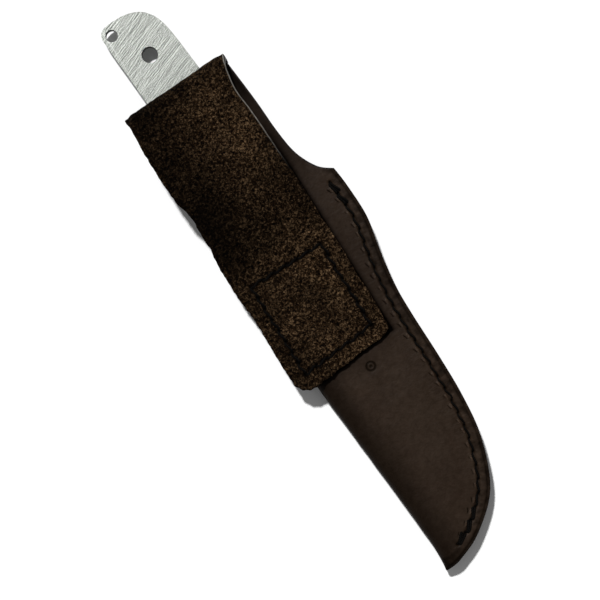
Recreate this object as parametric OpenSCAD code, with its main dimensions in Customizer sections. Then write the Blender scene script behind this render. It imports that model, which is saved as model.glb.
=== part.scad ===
// Leather belt sheath with a full-tang knife blank in its pocket.
//
// Frame: the sheath lies on its front panel, with the belt loop on top. The origin is the centre
// of the belt's way through the loop. +X runs along the belt, towards the stitched edge, and +Y
// runs along the spine fold from the tip to the mouth, which is the way the knife is drawn.
// The outlines below are drawn from the sheath's tip, at the outside of the fold, on the plane
// that the front panel rests on. Each sub-part is moved into the frame as it is placed.
//
// One piece of leather makes the front panel, the spine fold, the back panel, the fold at the top
// of the belt loop and the belt strip, which is sewn down flesh side out. A welt fills the
// stitched edge. Each of the two seams is a lockstitch of a needle thread and a bobbin thread.

/* [Leather] */
// Thickness of the sheath leather
leather_t = 2.8; // [2.4:0.1:3.2]
// Thickness of the welt, which sets the depth of the pocket
welt_t = 3.6; // [3.6:0.1:4.4]
// Width of the welt, measured in from the stitched edge
welt_w = 8.5; // [8:0.5:10]

/* [Belt loop] */
// Width of the belt strip
strip_w = 43; // [40:0.5:44]
// Height of the fold at the top of the belt loop
fold_y = 207; // [203:0.5:212]
// Clear height inside the belt loop
belt_gap = 6; // [4.5:0.5:8]
// How far the fold line is turned from square to the spine, in degrees
fold_tilt = 2.1; // [0:0.1:2.5]
// Height of the belt strip's lower end, at its middle
strip_end_y = 88; // [86:0.5:92]
// How far the lower end is cut from square to the strip, in degrees
end_slant = 5; // [0:0.5:7]

/* [Seams] */
// Distance from one stitch hole to the next along the stitched edge
edge_pitch = 5.4; // [4.6:0.2:6.2]
// Distance from one stitch hole to the next around the belt strip's box
box_pitch = 5.2; // [4.6:0.2:5.8]
// Distance from the stitched edge to its seam
seam_margin = 4.75; // [4:0.25:5.5]
// Thread diameter
thread_d = 0.9; // [0.7:0.1:1]

/* [Knife] */
// Thickness of the steel
knife_t = 3.2; // [2.8:0.1:3.3]
// Thickness of the sharpened edge
edge_t = 0.3; // [0.2:0.1:0.6]
// Diameter of the lanyard hole in the butt
lanyard_d = 4.8; // [4:0.1:5]
// Diameter of the handle pin holes
pin_d = 6.4; // [5:0.1:6.6]

/* [Hidden] */

$fn = 48;
layer_gap = 0.05;       // air between leather faces that touch but aren't joined
thread_gap = 0.05;      // air around a thread in its groove and holes
lock_gap = 0.02;        // half the air between the two threads where they meet in a hole
far = 400;              // longer than the object, for cutting tools

// Heights of the layers, from the front panel up
pocket_z0 = leather_t;
pocket_z1 = pocket_z0 + welt_t;
back_z1 = pocket_z1 + leather_t;
strip_z0 = back_z1 + layer_gap;
strip_z1 = strip_z0 + leather_t;
loop_z0 = back_z1 + belt_gap;
loop_z1 = loop_z0 + leather_t;
mid_z = (pocket_z0 + pocket_z1) / 2;
spine_r = leather_t + welt_t / 2;
fold_lap = 0.5;         // how far the flat of the back panel laps over the end of the spine fold

thread_r = thread_d / 2;
leg_r = thread_r + 0.28;            // the two legs of a stitch share a hole
hole_r = leg_r + thread_gap;
stitch_end = 0.15;                  // how far a stitch stops short of its hole's centre
knot = thread_r + 0.05;             // how far a leg stands past the axis of its stitches
seam_sink = knot + thread_gap;      // depth of the stitches' axis below the face
groove_w = 2 * (thread_r + thread_gap);
groove_depth = seam_sink + thread_r + thread_gap;

// ---- Curves ----

// One point on a Catmull-Rom curve between b and c
function curve_point(a, b, c, d, t) =
    (2 * b + (c - a) * t + (2 * a - 5 * b + 4 * c - d) * t * t
     + (3 * b - a - 3 * c + d) * t * t * t) / 2;

// A smooth curve through the points, with n steps between each two
function curve(p, n = 6) = [
    for (i = [0 : len(p) - 2], k = [0 : n - 1])
        curve_point(p[max(i - 1, 0)], p[i], p[i + 1], p[min(i + 2, len(p) - 1)], k / n),
    p[len(p) - 1]
];

// How far u is through a stretch, from 0 to 1
function part_of(u, from, to) = min(max((u - from) / (to - from), 0), 1);

function unit(v) = v / norm(v);

// The direction of a path at its point i
function heading(p, i) = unit(p[min(i + 1, len(p) - 1)] - p[max(i - 1, 0)]);

// A path moved d to its right-hand side
function inset(p, d) = [
    for (i = [0 : len(p) - 1]) let (h = heading(p, i)) p[i] + d * [h.y, -h.x]
];

// Distance along a path to each of its points
function distances(p) = [
    for (i = 0, s = 0; i < len(p); i = i + 1, s = s + (i < len(p) ? norm(p[i] - p[i - 1]) : 0)) s
];

// The point at distance s along a path whose distances are d
function point_at(p, d, s) =
    let (i = max([for (k = [0 : len(d) - 2]) if (d[k] <= s) k]))
    p[i] + (p[i + 1] - p[i]) * (s - d[i]) / (d[i + 1] - d[i]);

// Stitch holes along a path, evenly spaced, as near to the pitch as divides it
function holes_along(p, pitch) =
    let (d = distances(p), total = d[len(d) - 1], n = round(total / pitch))
    [for (i = [0 : n]) point_at(p, d, min(total * i / n, total - 0.001))];

// ---- Outlines ----

// The stitched edge, from the corner at the mouth down to the tip
edge_curve = curve([
    [55.3, 151.5], [55.5, 143], [54.6, 129], [50.9, 115.5], [47.7, 101], [46.3, 88],
    [45.1, 69], [43.3, 51], [39.6, 34], [30.7, 16], [17, 5.2], [6, 1], [0, 0]
]);

// The back panel's right edge, from the fold of the belt loop down to the corner at the mouth
throat_curve = curve([
    [44.4, fold_y + 3], [46.4, fold_y - 10], [46.5, 188], [46.1, 176], [46.9, 165], [50.5, 156],
    [55.3, 151.5]
]);

// The back panel's left edge, from the end of the spine fold up to the fold of the belt loop
spine_end = 166.5;
neck_curve = curve([
    [0, spine_end], [-0.7, 170.5], [-1.9, 177], [-0.9, fold_y - 14], [2.6, fold_y + 3]
]);

// The mouth of the front panel, from the stitched edge across to the spine fold
mouth_curve = curve([[55.3, 151.5], [45, 150.5], [28, 151.5], [12, 158], [0, spine_end]]);

// The pocket's edge is the inner edge of the welt
pocket_curve = inset(edge_curve, welt_w);
welt_outline = concat(edge_curve, [for (i = [len(pocket_curve) - 1 : -1 : 0]) pocket_curve[i]]);

// The edge seam runs between these heights
seam_top = 148;
seam_bottom = 6.25;
edge_seam_path = [
    for (p = inset(edge_curve, seam_margin)) if (p.y < seam_top && p.y > seam_bottom) p
];
edge_holes = holes_along(edge_seam_path, edge_pitch);

front_outline = concat(mouth_curve, [for (i = [len(edge_curve) - 1 : -1 : 1]) edge_curve[i]]);

back_outline = concat(throat_curve, [for (i = [1 : len(edge_curve) - 1]) edge_curve[i]], neck_curve);

// ---- The belt strip, drawn from the centre of the fold at the top of the loop ----

fold_x = 23.5;          // middle of the fold line
strip_len = fold_y - strip_end_y;
strip_corner = 4;       // radius of the strip's lower corners

module at_fold() {
    translate([fold_x, fold_y, 0]) rotate([0, 0, -fold_tilt]) children();
}

// Side view of the fold and the strip: x runs away from the fold, y is height
settle_from = 47;       // distance from the fold at which the strip starts to come down
settle_to = 70;         // distance at which it lies on the back panel
settle_steps = 20;

// Centre of the belt's way through the loop, which is the part's origin
belt_at = [22, 181, back_z1 + belt_gap / 2];

module placed() {
    translate(-belt_at) children();
}

function strip_height(d) =
    loop_z0 + (strip_z0 - loop_z0) * (1 - cos(180 * part_of(d, settle_from, settle_to))) / 2;

module strip_profile() {
    steps = [for (i = [0 : settle_steps]) settle_from + (settle_to - settle_from) * i / settle_steps];
    low = concat([0], steps, [2 * strip_len]);
    polygon(concat(
        [for (d = low) [d, strip_height(d)]],
        [for (i = [len(low) - 1 : -1 : 0]) [low[i], strip_height(low[i]) + leather_t]]
    ));
}

module fold_profile() {
    translate([0, back_z1 + belt_gap / 2]) difference() {
        circle(r = belt_gap / 2 + leather_t);
        circle(r = belt_gap / 2);
        translate([0, -far / 2]) square(far);
    }
}

// Turns a side view into a solid that runs across the strip
module across() {
    rotate([90, 0, -90]) linear_extrude(height = far, center = true) children();
}

function turned(p, a) = [p.x * cos(a) - p.y * sin(a), p.x * sin(a) + p.y * cos(a)];

function arc(at, r, from, to) = [for (i = [0 : 6]) at + turned([r, 0], from + (to - from) * i / 6)];

// The strip's outline; it leans by the fold's tilt once more, as a folded band does
function strip_outline() =
    let (half = strip_w / 2, inner = half - strip_corner, drop = inner * tan(end_slant),
         low = -strip_len + strip_corner)
    concat(
        [[half, 0], [half, far], [-half, far], [-half, 0]],
        [for (p = concat(
            arc([-inner, low - drop], strip_corner, 180, 270 + end_slant),
            arc([inner, low + drop], strip_corner, 270 + end_slant, 360)
        )) turned(p, -fold_tilt)]
    );

// ---- Seams ----

// Stitches along one face, joined to legs that run into the holes as far as leg_z
module thread(holes, stitch_z, leg_z, closed = false) {
    n = len(holes);
    for (i = [0 : n - (closed ? 1 : 2)]) {
        from = holes[i];
        step = holes[(i + 1) % n] - from;
        translate([from.x, from.y, stitch_z])
            rotate([0, 90, atan2(step.y, step.x)])
                translate([0, 0, stitch_end]) cylinder(r = thread_r, h = norm(step) - 2 * stitch_end);
    }
    knot_z = stitch_z + sign(stitch_z - leg_z) * knot;
    for (p = holes)
        translate([p.x, p.y, min(leg_z, knot_z)]) cylinder(r = leg_r, h = abs(knot_z - leg_z));
}

// Stitch holes punched through everything between two heights
module punched(holes, z0, z1) {
    for (p = holes)
        translate([p.x, p.y, z0]) cylinder(r = hole_r, h = z1 - z0);
}

// The groove that sinks the edge seam into a face; like the thread, it runs straight from hole to hole
module edge_groove(z0) {
    side_a = inset(edge_holes, -groove_w / 2);
    side_b = inset(edge_holes, groove_w / 2);
    band = concat(side_a, [for (i = [len(side_b) - 1 : -1 : 0]) side_b[i]]);
    translate([0, 0, z0]) linear_extrude(height = groove_depth + 1) polygon(band);
}

// The groove that sinks the belt strip's box of stitches into a face; its corners are in the holes
module box_groove(z0) {
    for (i = [0 : 3]) {
        side = box_corners[(i + 1) % 4] - box_corners[i];
        translate([box_corners[i].x, box_corners[i].y, z0])
            rotate([0, 0, atan2(side.y, side.x)])
                translate([0, -groove_w / 2, 0]) cube([norm(side), groove_w, groove_depth + 1]);
    }
}

box_margin = 5.8;       // from the strip's edges to its box of stitches
box_h = 38;

// A point of the strip, measured from the centre of the fold
function on_strip(p) = [fold_x, fold_y] + turned(p, -2 * fold_tilt);

box_corners =
    let (x = strip_w / 2 - box_margin, y = -strip_len + box_margin, drop = x * tan(end_slant))
    [on_strip([-x, y - drop]), on_strip([-x, y + box_h]), on_strip([x, y + box_h]), on_strip([x, y + drop])];

box_holes = [
    for (i = [0 : 3])
        let (a = box_corners[i], side = box_corners[(i + 1) % 4] - a, n = round(norm(side) / box_pitch))
        for (k = [0 : n - 1]) a + side * k / n
];

// ---- The knife, drawn from the line of its blade's spine ----

knife_x = spine_r - 0.5;
ricasso_y = 112;        // where the handle's outline meets the blade

handle_curve = curve([
    [0, ricasso_y], [0.3, 128], [2.2, 152], [5.2, 180], [7.4, 205], [8, 225], [8.2, 240], [8.6, 245.2],
    [11, 247.6], [16, 247.9], [21.3, 247.2], [26.2, 245], [29.6, 241.2], [31.4, 236], [32.1, 228],
    [32.3, 214], [33.2, 197], [33.8, 180], [32.2, 162], [31.4, 147], [33.6, 134.5], [37.2, 127],
    [38.3, 124.2], [36.6, 121.2], [32.8, 117.6], [30.9, ricasso_y]
]);

blade_ribs = 28;
spine_curve = curve([[0, ricasso_y], [0, 88], [0, 64], [0, 42], [2.4, 15]], 7);
cutting_curve = curve([[30.9, ricasso_y], [31.3, 84], [29.8, 55], [23, 30], [2.6, 14.8]], 7);

// Shares of the blade's length, from the ricasso: the grind plunges, then the spine tapers
plunge = 0.08;
taper_from = 0.6;
// Shares of the blade's width, from the spine, where the grind starts before and after its plunge
grind_high = 0.97;
grind_low = 0.34;
tip_share = 0.45;       // thickness of the spine at the tip, as a share of its full thickness

function grind_at(u) = grind_high + (grind_low - grind_high) * (1 - cos(180 * part_of(u, 0, plunge))) / 2;
function spine_t(u) = knife_t * (1 + (tip_share - 1) * part_of(u, taper_from, 1));
function cutting_t(u) = knife_t + (edge_t - knife_t) * part_of(u, 0, plunge);

// The six corners of one rib, from the upper side of the spine round to its lower side
function rib(i) =
    let (u = i / blade_ribs, s = spine_curve[i], e = cutting_curve[i], g = s + (e - s) * grind_at(u),
         a = spine_t(u) / 2, b = cutting_t(u) / 2)
    [[s.x, s.y, a], [g.x, g.y, a], [e.x, e.y, b], [e.x, e.y, -b], [g.x, g.y, -a], [s.x, s.y, -a]];

module blade() {
    ribs = [for (i = [0 : blade_ribs]) rib(i)];
    points = [for (r = ribs, p = r) p];
    sides = [
        for (i = [0 : blade_ribs - 1], k = [0 : 5])
            let (a = 6 * i + k, b = 6 * i + (k + 1) % 6) each [[a, b, b + 6], [a, b + 6, a + 6]]
    ];
    last = 6 * blade_ribs;
    heel = [[4, 1, 0], [5, 4, 0], [4, 3, 2], [4, 2, 1]];
    tip = [for (f = heel) [last + f.x, last + f.z, last + f.y]];
    polyhedron(points, concat(sides, heel, tip));
}

// Centre of each hole: one for a lanyard and three for the pins that hold the handle's scales
lanyard_at = [16.3, 243.6];
pins_at = [[23.9, 229], [22.6, 187], [20.4, 146]];

module knife_hole(at, d) {
    translate([at.x, at.y, -knife_t]) cylinder(r = d / 2, h = 2 * knife_t);
}

// ---- Sub-parts ----

module spine_and_panels() {
    // Front panel, from the fold to the stitched edge
    intersection() {
        linear_extrude(height = leather_t) polygon(front_outline);
        translate([spine_r, -1, 0]) cube([far, far, leather_t]);
    }
    // Back panel, which runs on up to the fold of the belt loop
    intersection() {
        translate([0, 0, pocket_z1]) linear_extrude(height = leather_t) polygon(back_outline);
        union() {
            translate([spine_r, -1, pocket_z1]) cube([far, far, leather_t]);
            translate([-far / 2, spine_end - fold_lap, pocket_z1]) cube([far, far, leather_t]);
        }
        at_fold() translate([-far / 2, -far, 0]) cube([far, far, far]);
    }
    // Half-round spine fold; its upper half runs on to the flat of the back panel
    intersection() {
        translate([spine_r, 0, mid_z]) rotate([-90, 0, 0]) difference() {
            cylinder(r = spine_r, h = spine_end);
            translate([0, 0, -1]) cylinder(r = welt_t / 2, h = far);
            translate([0, -far / 2, -1]) cube(far);
        }
        union() {
            linear_extrude(height = mid_z) polygon(front_outline);
            translate([0, 0, mid_z]) linear_extrude(height = far) polygon(back_outline);
        }
    }
}

module belt_strip() {
    intersection() {
        at_fold() across() { strip_profile(); fold_profile(); }
        at_fold() linear_extrude(height = far) polygon(strip_outline());
    }
}

module sheath_leather() {
    color([0.2, 0.155, 0.125]) difference() {
        union() {
            spine_and_panels();
            belt_strip();
        }
        punched(edge_holes, -1, back_z1 + 1);
        punched(box_holes, pocket_z1 - 1, strip_z1 + 1);
        edge_groove(-1);
        edge_groove(back_z1 - groove_depth);
        box_groove(pocket_z1 - 1);
        box_groove(strip_z1 - groove_depth);
    }
}

// The welt's end is rounded where it fills the inside of the fold at the tip
module welt() {
    color([0.16, 0.12, 0.1]) difference() {
        intersection() {
            translate([0, 0, pocket_z0]) linear_extrude(height = welt_t) polygon(welt_outline);
            translate([0, 0, pocket_z0]) linear_extrude(height = welt_t) polygon(front_outline);
            union() {
                translate([spine_r, -1, 0]) cube([far, far, far]);
                translate([spine_r, -1, mid_z]) rotate([-90, 0, 0]) cylinder(r = welt_t / 2, h = far);
            }
        }
        punched(edge_holes, -1, back_z1 + 1);
    }
}

module knife_blank() {
    color([0.71, 0.73, 0.7]) translate([0, 0, mid_z]) difference() {
        translate([knife_x, 0, 0]) union() {
            translate([0, 0, -knife_t / 2]) linear_extrude(height = knife_t) polygon(handle_curve);
            blade();
        }
        knife_hole(lanyard_at, lanyard_d);
        for (at = pins_at) knife_hole(at, pin_d);
    }
}

module edge_needle_thread() {
    color("black") thread(edge_holes, back_z1 - seam_sink, mid_z + lock_gap);
}

module edge_bobbin_thread() {
    color("black") thread(edge_holes, seam_sink, mid_z - lock_gap);
}

module loop_needle_thread() {
    color("black") thread(box_holes, strip_z1 - seam_sink, strip_z0 + lock_gap, true);
}

module loop_bobbin_thread() {
    color("black") thread(box_holes, pocket_z1 + seam_sink, strip_z0 - lock_gap, true);
}

placed() sheath_leather();
placed() welt();
placed() knife_blank();
placed() edge_needle_thread();
placed() edge_bobbin_thread();
placed() loop_needle_thread();
placed() loop_bobbin_thread();
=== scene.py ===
"""Looks for a full-tang knife blank in a folded and stitched leather belt sheath.

The leather is modelled as the real one is made: a flat pattern is filled with points, given a
grain side and a flesh side, and folded round the spine and over the belt loop. Shapes are in
millimetres from the sheath's tip, as in the CAD model, and are moved into the frame as they are
built.
"""

import math

import bpy
import numpy as np
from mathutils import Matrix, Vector, kdtree
from mathutils.geometry import delaunay_2d_cdt


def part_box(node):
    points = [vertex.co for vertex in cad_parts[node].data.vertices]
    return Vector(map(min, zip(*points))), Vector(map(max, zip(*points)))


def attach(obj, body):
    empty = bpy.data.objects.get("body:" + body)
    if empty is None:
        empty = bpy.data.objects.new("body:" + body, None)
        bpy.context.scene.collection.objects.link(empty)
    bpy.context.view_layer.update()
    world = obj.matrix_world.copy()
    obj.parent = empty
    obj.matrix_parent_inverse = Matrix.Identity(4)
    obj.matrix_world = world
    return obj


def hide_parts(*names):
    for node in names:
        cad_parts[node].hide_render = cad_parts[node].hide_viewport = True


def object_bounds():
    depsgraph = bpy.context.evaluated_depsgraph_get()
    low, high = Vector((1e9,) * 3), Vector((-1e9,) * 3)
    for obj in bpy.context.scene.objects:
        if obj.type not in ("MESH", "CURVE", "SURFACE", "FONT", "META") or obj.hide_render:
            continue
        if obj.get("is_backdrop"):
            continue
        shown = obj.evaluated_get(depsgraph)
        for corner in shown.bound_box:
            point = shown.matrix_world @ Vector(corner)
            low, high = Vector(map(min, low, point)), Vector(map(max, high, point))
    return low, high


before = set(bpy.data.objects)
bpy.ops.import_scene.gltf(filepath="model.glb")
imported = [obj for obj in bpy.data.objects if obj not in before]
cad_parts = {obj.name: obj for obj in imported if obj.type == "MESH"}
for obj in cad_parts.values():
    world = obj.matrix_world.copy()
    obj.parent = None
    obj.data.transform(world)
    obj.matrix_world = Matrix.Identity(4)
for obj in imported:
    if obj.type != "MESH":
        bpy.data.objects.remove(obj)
cad_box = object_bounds()

MM = 0.001

# ---- Places and sizes ----

leather_lo, leather_hi = (np.array(c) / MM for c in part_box("sheath_leather"))
welt_lo, welt_hi = (np.array(c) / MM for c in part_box("welt"))

POCKET_Z0 = welt_lo[2] - leather_lo[2]
POCKET_Z1 = welt_hi[2] - leather_lo[2]
LEATHER_T = POCKET_Z0
BACK_Z = POCKET_Z1 + LEATHER_T  # grain side of the back panel
LOOP_Z = leather_hi[2] - leather_lo[2]  # flesh side of the strip, at the top of the loop
MID_Z = (POCKET_Z0 + POCKET_Z1) / 2
SPINE_HALF = BACK_Z / 2  # half the height of the spine fold
SPINE_REACH = 6.0  # how far in from the spine its curve runs
SPINE_INNER = (4.3, POCKET_Z1 - MID_Z)  # the same two measures inside the fold

FOLD_AT = np.array([23.5, 207.0])  # middle of the fold at the top of the belt loop
FOLD_TILT = math.radians(-2.1)
FOLD_ALONG = np.array([math.cos(FOLD_TILT), math.sin(FOLD_TILT)])
FOLD_UP = np.array([-math.sin(FOLD_TILT), math.cos(FOLD_TILT)])
GAP_R = (LOOP_Z - LEATHER_T - BACK_Z) / 2
FOLD_Z = BACK_Z + GAP_R
FOLD_R = GAP_R + LEATHER_T / 2  # radius of the leather's middle around the fold
FOLD_LEN = math.pi * FOLD_R
STRIP_LEN = 119.0
STRIP_HALF = 21.5
STRIP_TURN = 2 * FOLD_TILT  # the fold turns the strip by twice its own tilt
STRIP_CORNER = 4.0
LEFT_CORNER = 6.5  # the strip's lower left corner is worn rounder
END_SLANT = math.tan(math.radians(5))
LAYER_GAP = 0.05
SETTLE = (47.0, 70.0)  # distances from the fold over which the strip comes down

SPINE_END = 166.5
OPEN_OUT = (162.0, 178.0)  # heights over which the back panel opens out flat
FLARE = 1.7  # how far the spine fold spreads at the tip
FLARE_H = 15.0
SEAM_MARGIN = 4.75
SEAM_TOP = 148.0
SEAM_BOTTOM = 6.25
EDGE_PITCH = 5.4
BOX_PITCH = 5.2
BOX_MARGIN = 5.8
BOX_H = 38.0
WELT_W = 8.5
THREAD_R = 0.5
PLY_R = 0.56 * THREAD_R
PLY_OFF = 0.5 * THREAD_R  # how far a ply's middle is from the thread's
MARK_AT = np.array([21.5, 81.5])  # the maker's plain mark, a ring round a dot
RING_R = 1.7
MARK_REACH = 3.2

PANEL_TOP = 160.0  # no stitched edge is above this
SEWN_FROM = 60.0  # the strip's seams are all further down it than this
SPINE_BAND = 9.0  # the fine points run this far round onto the front panel
FAR = 50.0  # out of reach of every hollow and tint

FINE = 0.5  # point spacing on the faces that show
COARSE = 1.2  # point spacing inside the pocket and the loop
OUTLINE_STEP = 0.5


# ---- Curves and fields ----

def curve(points, n=6):
    """A Catmull-Rom curve through the points, with n steps between each two."""
    p = np.array(points, float)
    p = np.vstack([p[:1], p, p[-1:]])
    t = (np.arange(n) / n)[:, None]
    spans = [
        (2 * b + (c - a) * t + (2 * a - 5 * b + 4 * c - d) * t**2 + (3 * b - a - 3 * c + d) * t**3) / 2
        for a, b, c, d in zip(p, p[1:], p[2:], p[3:])
    ]
    return np.vstack(spans + [p[-1:]])


def distances(path):
    """Distance along a path to each of its points."""
    return np.concatenate([[0], np.cumsum(np.linalg.norm(np.diff(path, axis=0), axis=1))])


def along(path, s):
    """Points at distances s along a path."""
    d = distances(path)
    return np.column_stack([np.interp(s, d, path[:, k]) for k in range(path.shape[1])])


def resample(path, step):
    """A path as evenly spaced points about step apart, with its ends kept."""
    total = distances(path)[-1]
    return along(path, np.linspace(0, total, max(2, round(total / step) + 1)))


def unit(vectors):
    return vectors / np.linalg.norm(vectors, axis=1)[:, None]


def headings(path):
    """Unit vectors along a path."""
    return unit(np.gradient(path, axis=0))


def right_of(path):
    """Unit vectors to the right-hand side of a path."""
    t = headings(path)
    return np.column_stack([t[:, 1], -t[:, 0]])


def inset(path, d):
    """A path moved to its right-hand side by d."""
    return path + d * right_of(path)


def smooth(x, lo, hi):
    """0 below lo, 1 above hi, and a smooth step between."""
    t = np.clip((x - lo) / (hi - lo), 0, 1)
    return t * t * (3 - 2 * t)


def hump(x, width):
    """1 at x = 0, falling away over about width."""
    return np.exp(-((x / width) ** 2))


NOISE_CELLS = 4096  # a power of two
NOISE_STEPS = (73856093, 19349663)  # large primes, which scatter the cells over the table


def noise(p, size, seed=0):
    """Smooth value noise from -1 to 1 at 2-D points, with features about size across."""
    table = np.random.default_rng(seed).uniform(-1, 1, NOISE_CELLS)
    q = np.asarray(p, float) / size
    cell = np.floor(q).astype(np.int64)
    f = q - cell
    f = f * f * (3 - 2 * f)

    def corner(dx, dy):
        mixed = (cell[:, 0] + dx) * NOISE_STEPS[0] ^ (cell[:, 1] + dy) * NOISE_STEPS[1]
        return table[mixed & (NOISE_CELLS - 1)]

    low = corner(0, 0) * (1 - f[:, 0]) + corner(1, 0) * f[:, 0]
    high = corner(0, 1) * (1 - f[:, 0]) + corner(1, 1) * f[:, 0]
    return low * (1 - f[:, 1]) + high * f[:, 1]


def rough(p, size, octaves=3, seed=0):
    """Noise with finer and finer octaves."""
    return sum(noise(p, size / 2**k, seed + k) / 2**k for k in range(octaves))


def nearest(points, path):
    """Distance from each point to a path, and how far along the path the nearest place is."""
    step = 0.25
    half_step = 0.13  # with a little over
    fine = resample(path, step)
    distance, i = find(points, fine)
    past = np.sum((points - fine[i]) * headings(fine)[i], axis=1)
    past = np.clip(past, -half_step, half_step)
    return np.sqrt(np.maximum(distance**2 - past**2, 0)), distances(fine)[i] + past


def find(points, others):
    """Distance to the nearest of the others from each point, and its index."""
    tree = kdtree.KDTree(len(others))
    for i, p in enumerate(others):
        tree.insert((p[0], p[1], 0), i)
    tree.balance()
    found = [tree.find((p[0], p[1], 0)) for p in points]
    return np.array([f[2] for f in found]), np.array([f[1] for f in found])


# ---- The sheath's outlines ----

EDGE = curve([
    (55.3, 151.5), (55.5, 143), (54.6, 129), (50.9, 115.5), (47.7, 101), (46.3, 88), (45.1, 69),
    (43.3, 51), (39.6, 34), (30.7, 16), (17, 5.2), (6, 1), (0, 0),
])
THROAT = curve([
    (46.2, 209), (46.4, 197), (46.4, 188), (46.1, 176), (46.9, 165), (50.5, 156), (55.3, 151.5),
])
MOUTH = curve([(55.3, 151.5), (45, 150.5), (28, 151.5), (12, 158), (0, SPINE_END)])

EDGE_SEAM = inset(EDGE, SEAM_MARGIN)
EDGE_SEAM = EDGE_SEAM[(EDGE_SEAM[:, 1] < SEAM_TOP) & (EDGE_SEAM[:, 1] > SEAM_BOTTOM)]
EDGE_HOLES = resample(EDGE_SEAM, EDGE_PITCH)
STITCH = distances(EDGE_SEAM)[-1] / (len(EDGE_HOLES) - 1)

TIP = np.array([leather_hi[0] - EDGE[:, 0].max(), leather_lo[1], leather_lo[2]])


def turned(p, angle):
    """2-D points turned anticlockwise by an angle."""
    c, s = math.cos(angle), math.sin(angle)
    return np.asarray(p, float) @ np.array([[c, s], [-s, c]])


def box_corners():
    """Corners of the strip's box of stitches, from the lower left round to the lower right."""
    x = STRIP_HALF - BOX_MARGIN
    y = BOX_MARGIN - STRIP_LEN
    drop = x * END_SLANT
    corners = [(-x, y - drop), (-x, y + BOX_H), (x, y + BOX_H), (x, y + drop)]
    return FOLD_AT + turned(corners, STRIP_TURN)


def on_strip(xy):
    """Places as the strip's own coordinates: across it, and up it from the middle of its fold."""
    return turned(xy - FOLD_AT, -STRIP_TURN)


BOX = box_corners()
BOX_PATH = np.vstack([BOX, BOX[:1]])
BOX_HOLES = np.vstack([resample(BOX_PATH[i : i + 2], BOX_PITCH)[:-1] for i in range(4)])


# ---- The flat pattern and how it folds ----

ARC = np.linspace(0, math.pi / 2, 60)
ARC_PATH = np.column_stack([SPINE_REACH * (1 - np.cos(ARC)), SPINE_HALF * np.sin(ARC)])
ARC_S = distances(ARC_PATH)
ARC_LEN = ARC_S[-1]
FLAT_SHIFT = ARC_LEN - SPINE_REACH  # pattern u less x, on the flat of a panel


def unroll(x):
    """Distance from the spine's middle line, over its fold, to where a panel is x from the tip."""
    x = np.asarray(x, float)
    return np.where(x < SPINE_REACH, np.interp(x, ARC_PATH[:, 0], ARC_S), x + FLAT_SHIFT)


def over_fold(p):
    """Pattern points of places on the folded belt strip."""
    q = np.asarray(p, float) - FOLD_AT
    e, w = q @ FOLD_ALONG, -(q @ FOLD_UP)
    flat = FOLD_AT + np.outer(e, FOLD_ALONG) + np.outer(w + FOLD_LEN, FOLD_UP)
    return flat + [FLAT_SHIFT, 0]


def fold_place(uv):
    """Coordinates along and above the fold line of the belt loop, for pattern points."""
    q = uv - [FLAT_SHIFT, 0] - FOLD_AT
    return q @ FOLD_ALONG, q @ FOLD_UP


def strip_height(w):
    """Height of the strip's lower face at distances down it from the fold."""
    t = np.clip((w - SETTLE[0]) / (SETTLE[1] - SETTLE[0]), 0, 1)
    high, low = LOOP_Z - LEATHER_T, BACK_Z + LAYER_GAP
    return high + (low - high) * (1 - np.cos(math.pi * t)) / 2


def round_spine(u, v):
    """Grain side and flesh side of pattern points, folded only round the spine."""
    side = np.where(u >= 0, 1.0, -1.0)
    phi = np.interp(np.abs(u), ARC_S, ARC)
    flat_x = np.abs(u) - FLAT_SHIFT
    on_flat = np.abs(u) > ARC_LEN
    grain_x = np.where(on_flat, flat_x, SPINE_REACH * (1 - np.cos(phi)))
    flesh_x = np.where(on_flat, flat_x, SPINE_REACH - SPINE_INNER[0] * np.cos(phi))
    grain_z = MID_Z + side * SPINE_HALF * np.sin(phi)
    flesh_z = MID_Z + side * SPINE_INNER[1] * np.sin(phi)

    flare = FLARE * np.clip(1 - v / FLARE_H, 0, 1) ** 2 * hump(u, SPINE_REACH)
    grain = np.column_stack([grain_x - flare, v, grain_z])
    flesh = np.column_stack([flesh_x - flare, v, flesh_z])
    return grain, flesh


def fold(uv):
    """Grain side and flesh side, in millimetres from the tip, of points of the flat pattern.

    u is 0 on the spine's middle line, positive on the back panel and negative on the front panel.
    """
    u, v = uv[:, 0], uv[:, 1]
    grain, flesh = round_spine(u, v)

    # above the pocket the back panel opens out flat
    opening = (smooth(v, *OPEN_OUT) * smooth(u, -8, 0))[:, None]
    for points, z in ((grain, BACK_Z), (flesh, POCKET_Z1)):
        flat = np.column_stack([u - FLAT_SHIFT, v, np.full(len(u), z)])
        points += (flat - points) * opening

    # over the belt loop's fold, and back down as the strip
    e, d = fold_place(uv)
    over = (u >= 0) & (d > 0)
    turn = np.clip(d / FOLD_R, 0, math.pi)
    w = np.maximum(d - FOLD_LEN, 0)
    for points, r, thick in ((grain, GAP_R, 0.0), (flesh, GAP_R + LEATHER_T, LEATHER_T)):
        reach = r * np.sin(turn) - w
        xy = FOLD_AT + np.outer(e, FOLD_ALONG) + reach[:, None] * FOLD_UP
        z = np.where(d > FOLD_LEN, strip_height(w) + thick, FOLD_Z - r * np.cos(turn))
        points[over] = np.column_stack([xy, z])[over]
    return grain, flesh


# the strip's middle line, start and end in the flat pattern
STRIP_MID = FOLD_AT[0] + FLAT_SHIFT - FOLD_LEN * math.sin(FOLD_TILT)
STRIP_START_V = FOLD_AT[1] + 2
STRIP_END_V = FOLD_AT[1] + FOLD_LEN + STRIP_LEN

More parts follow.
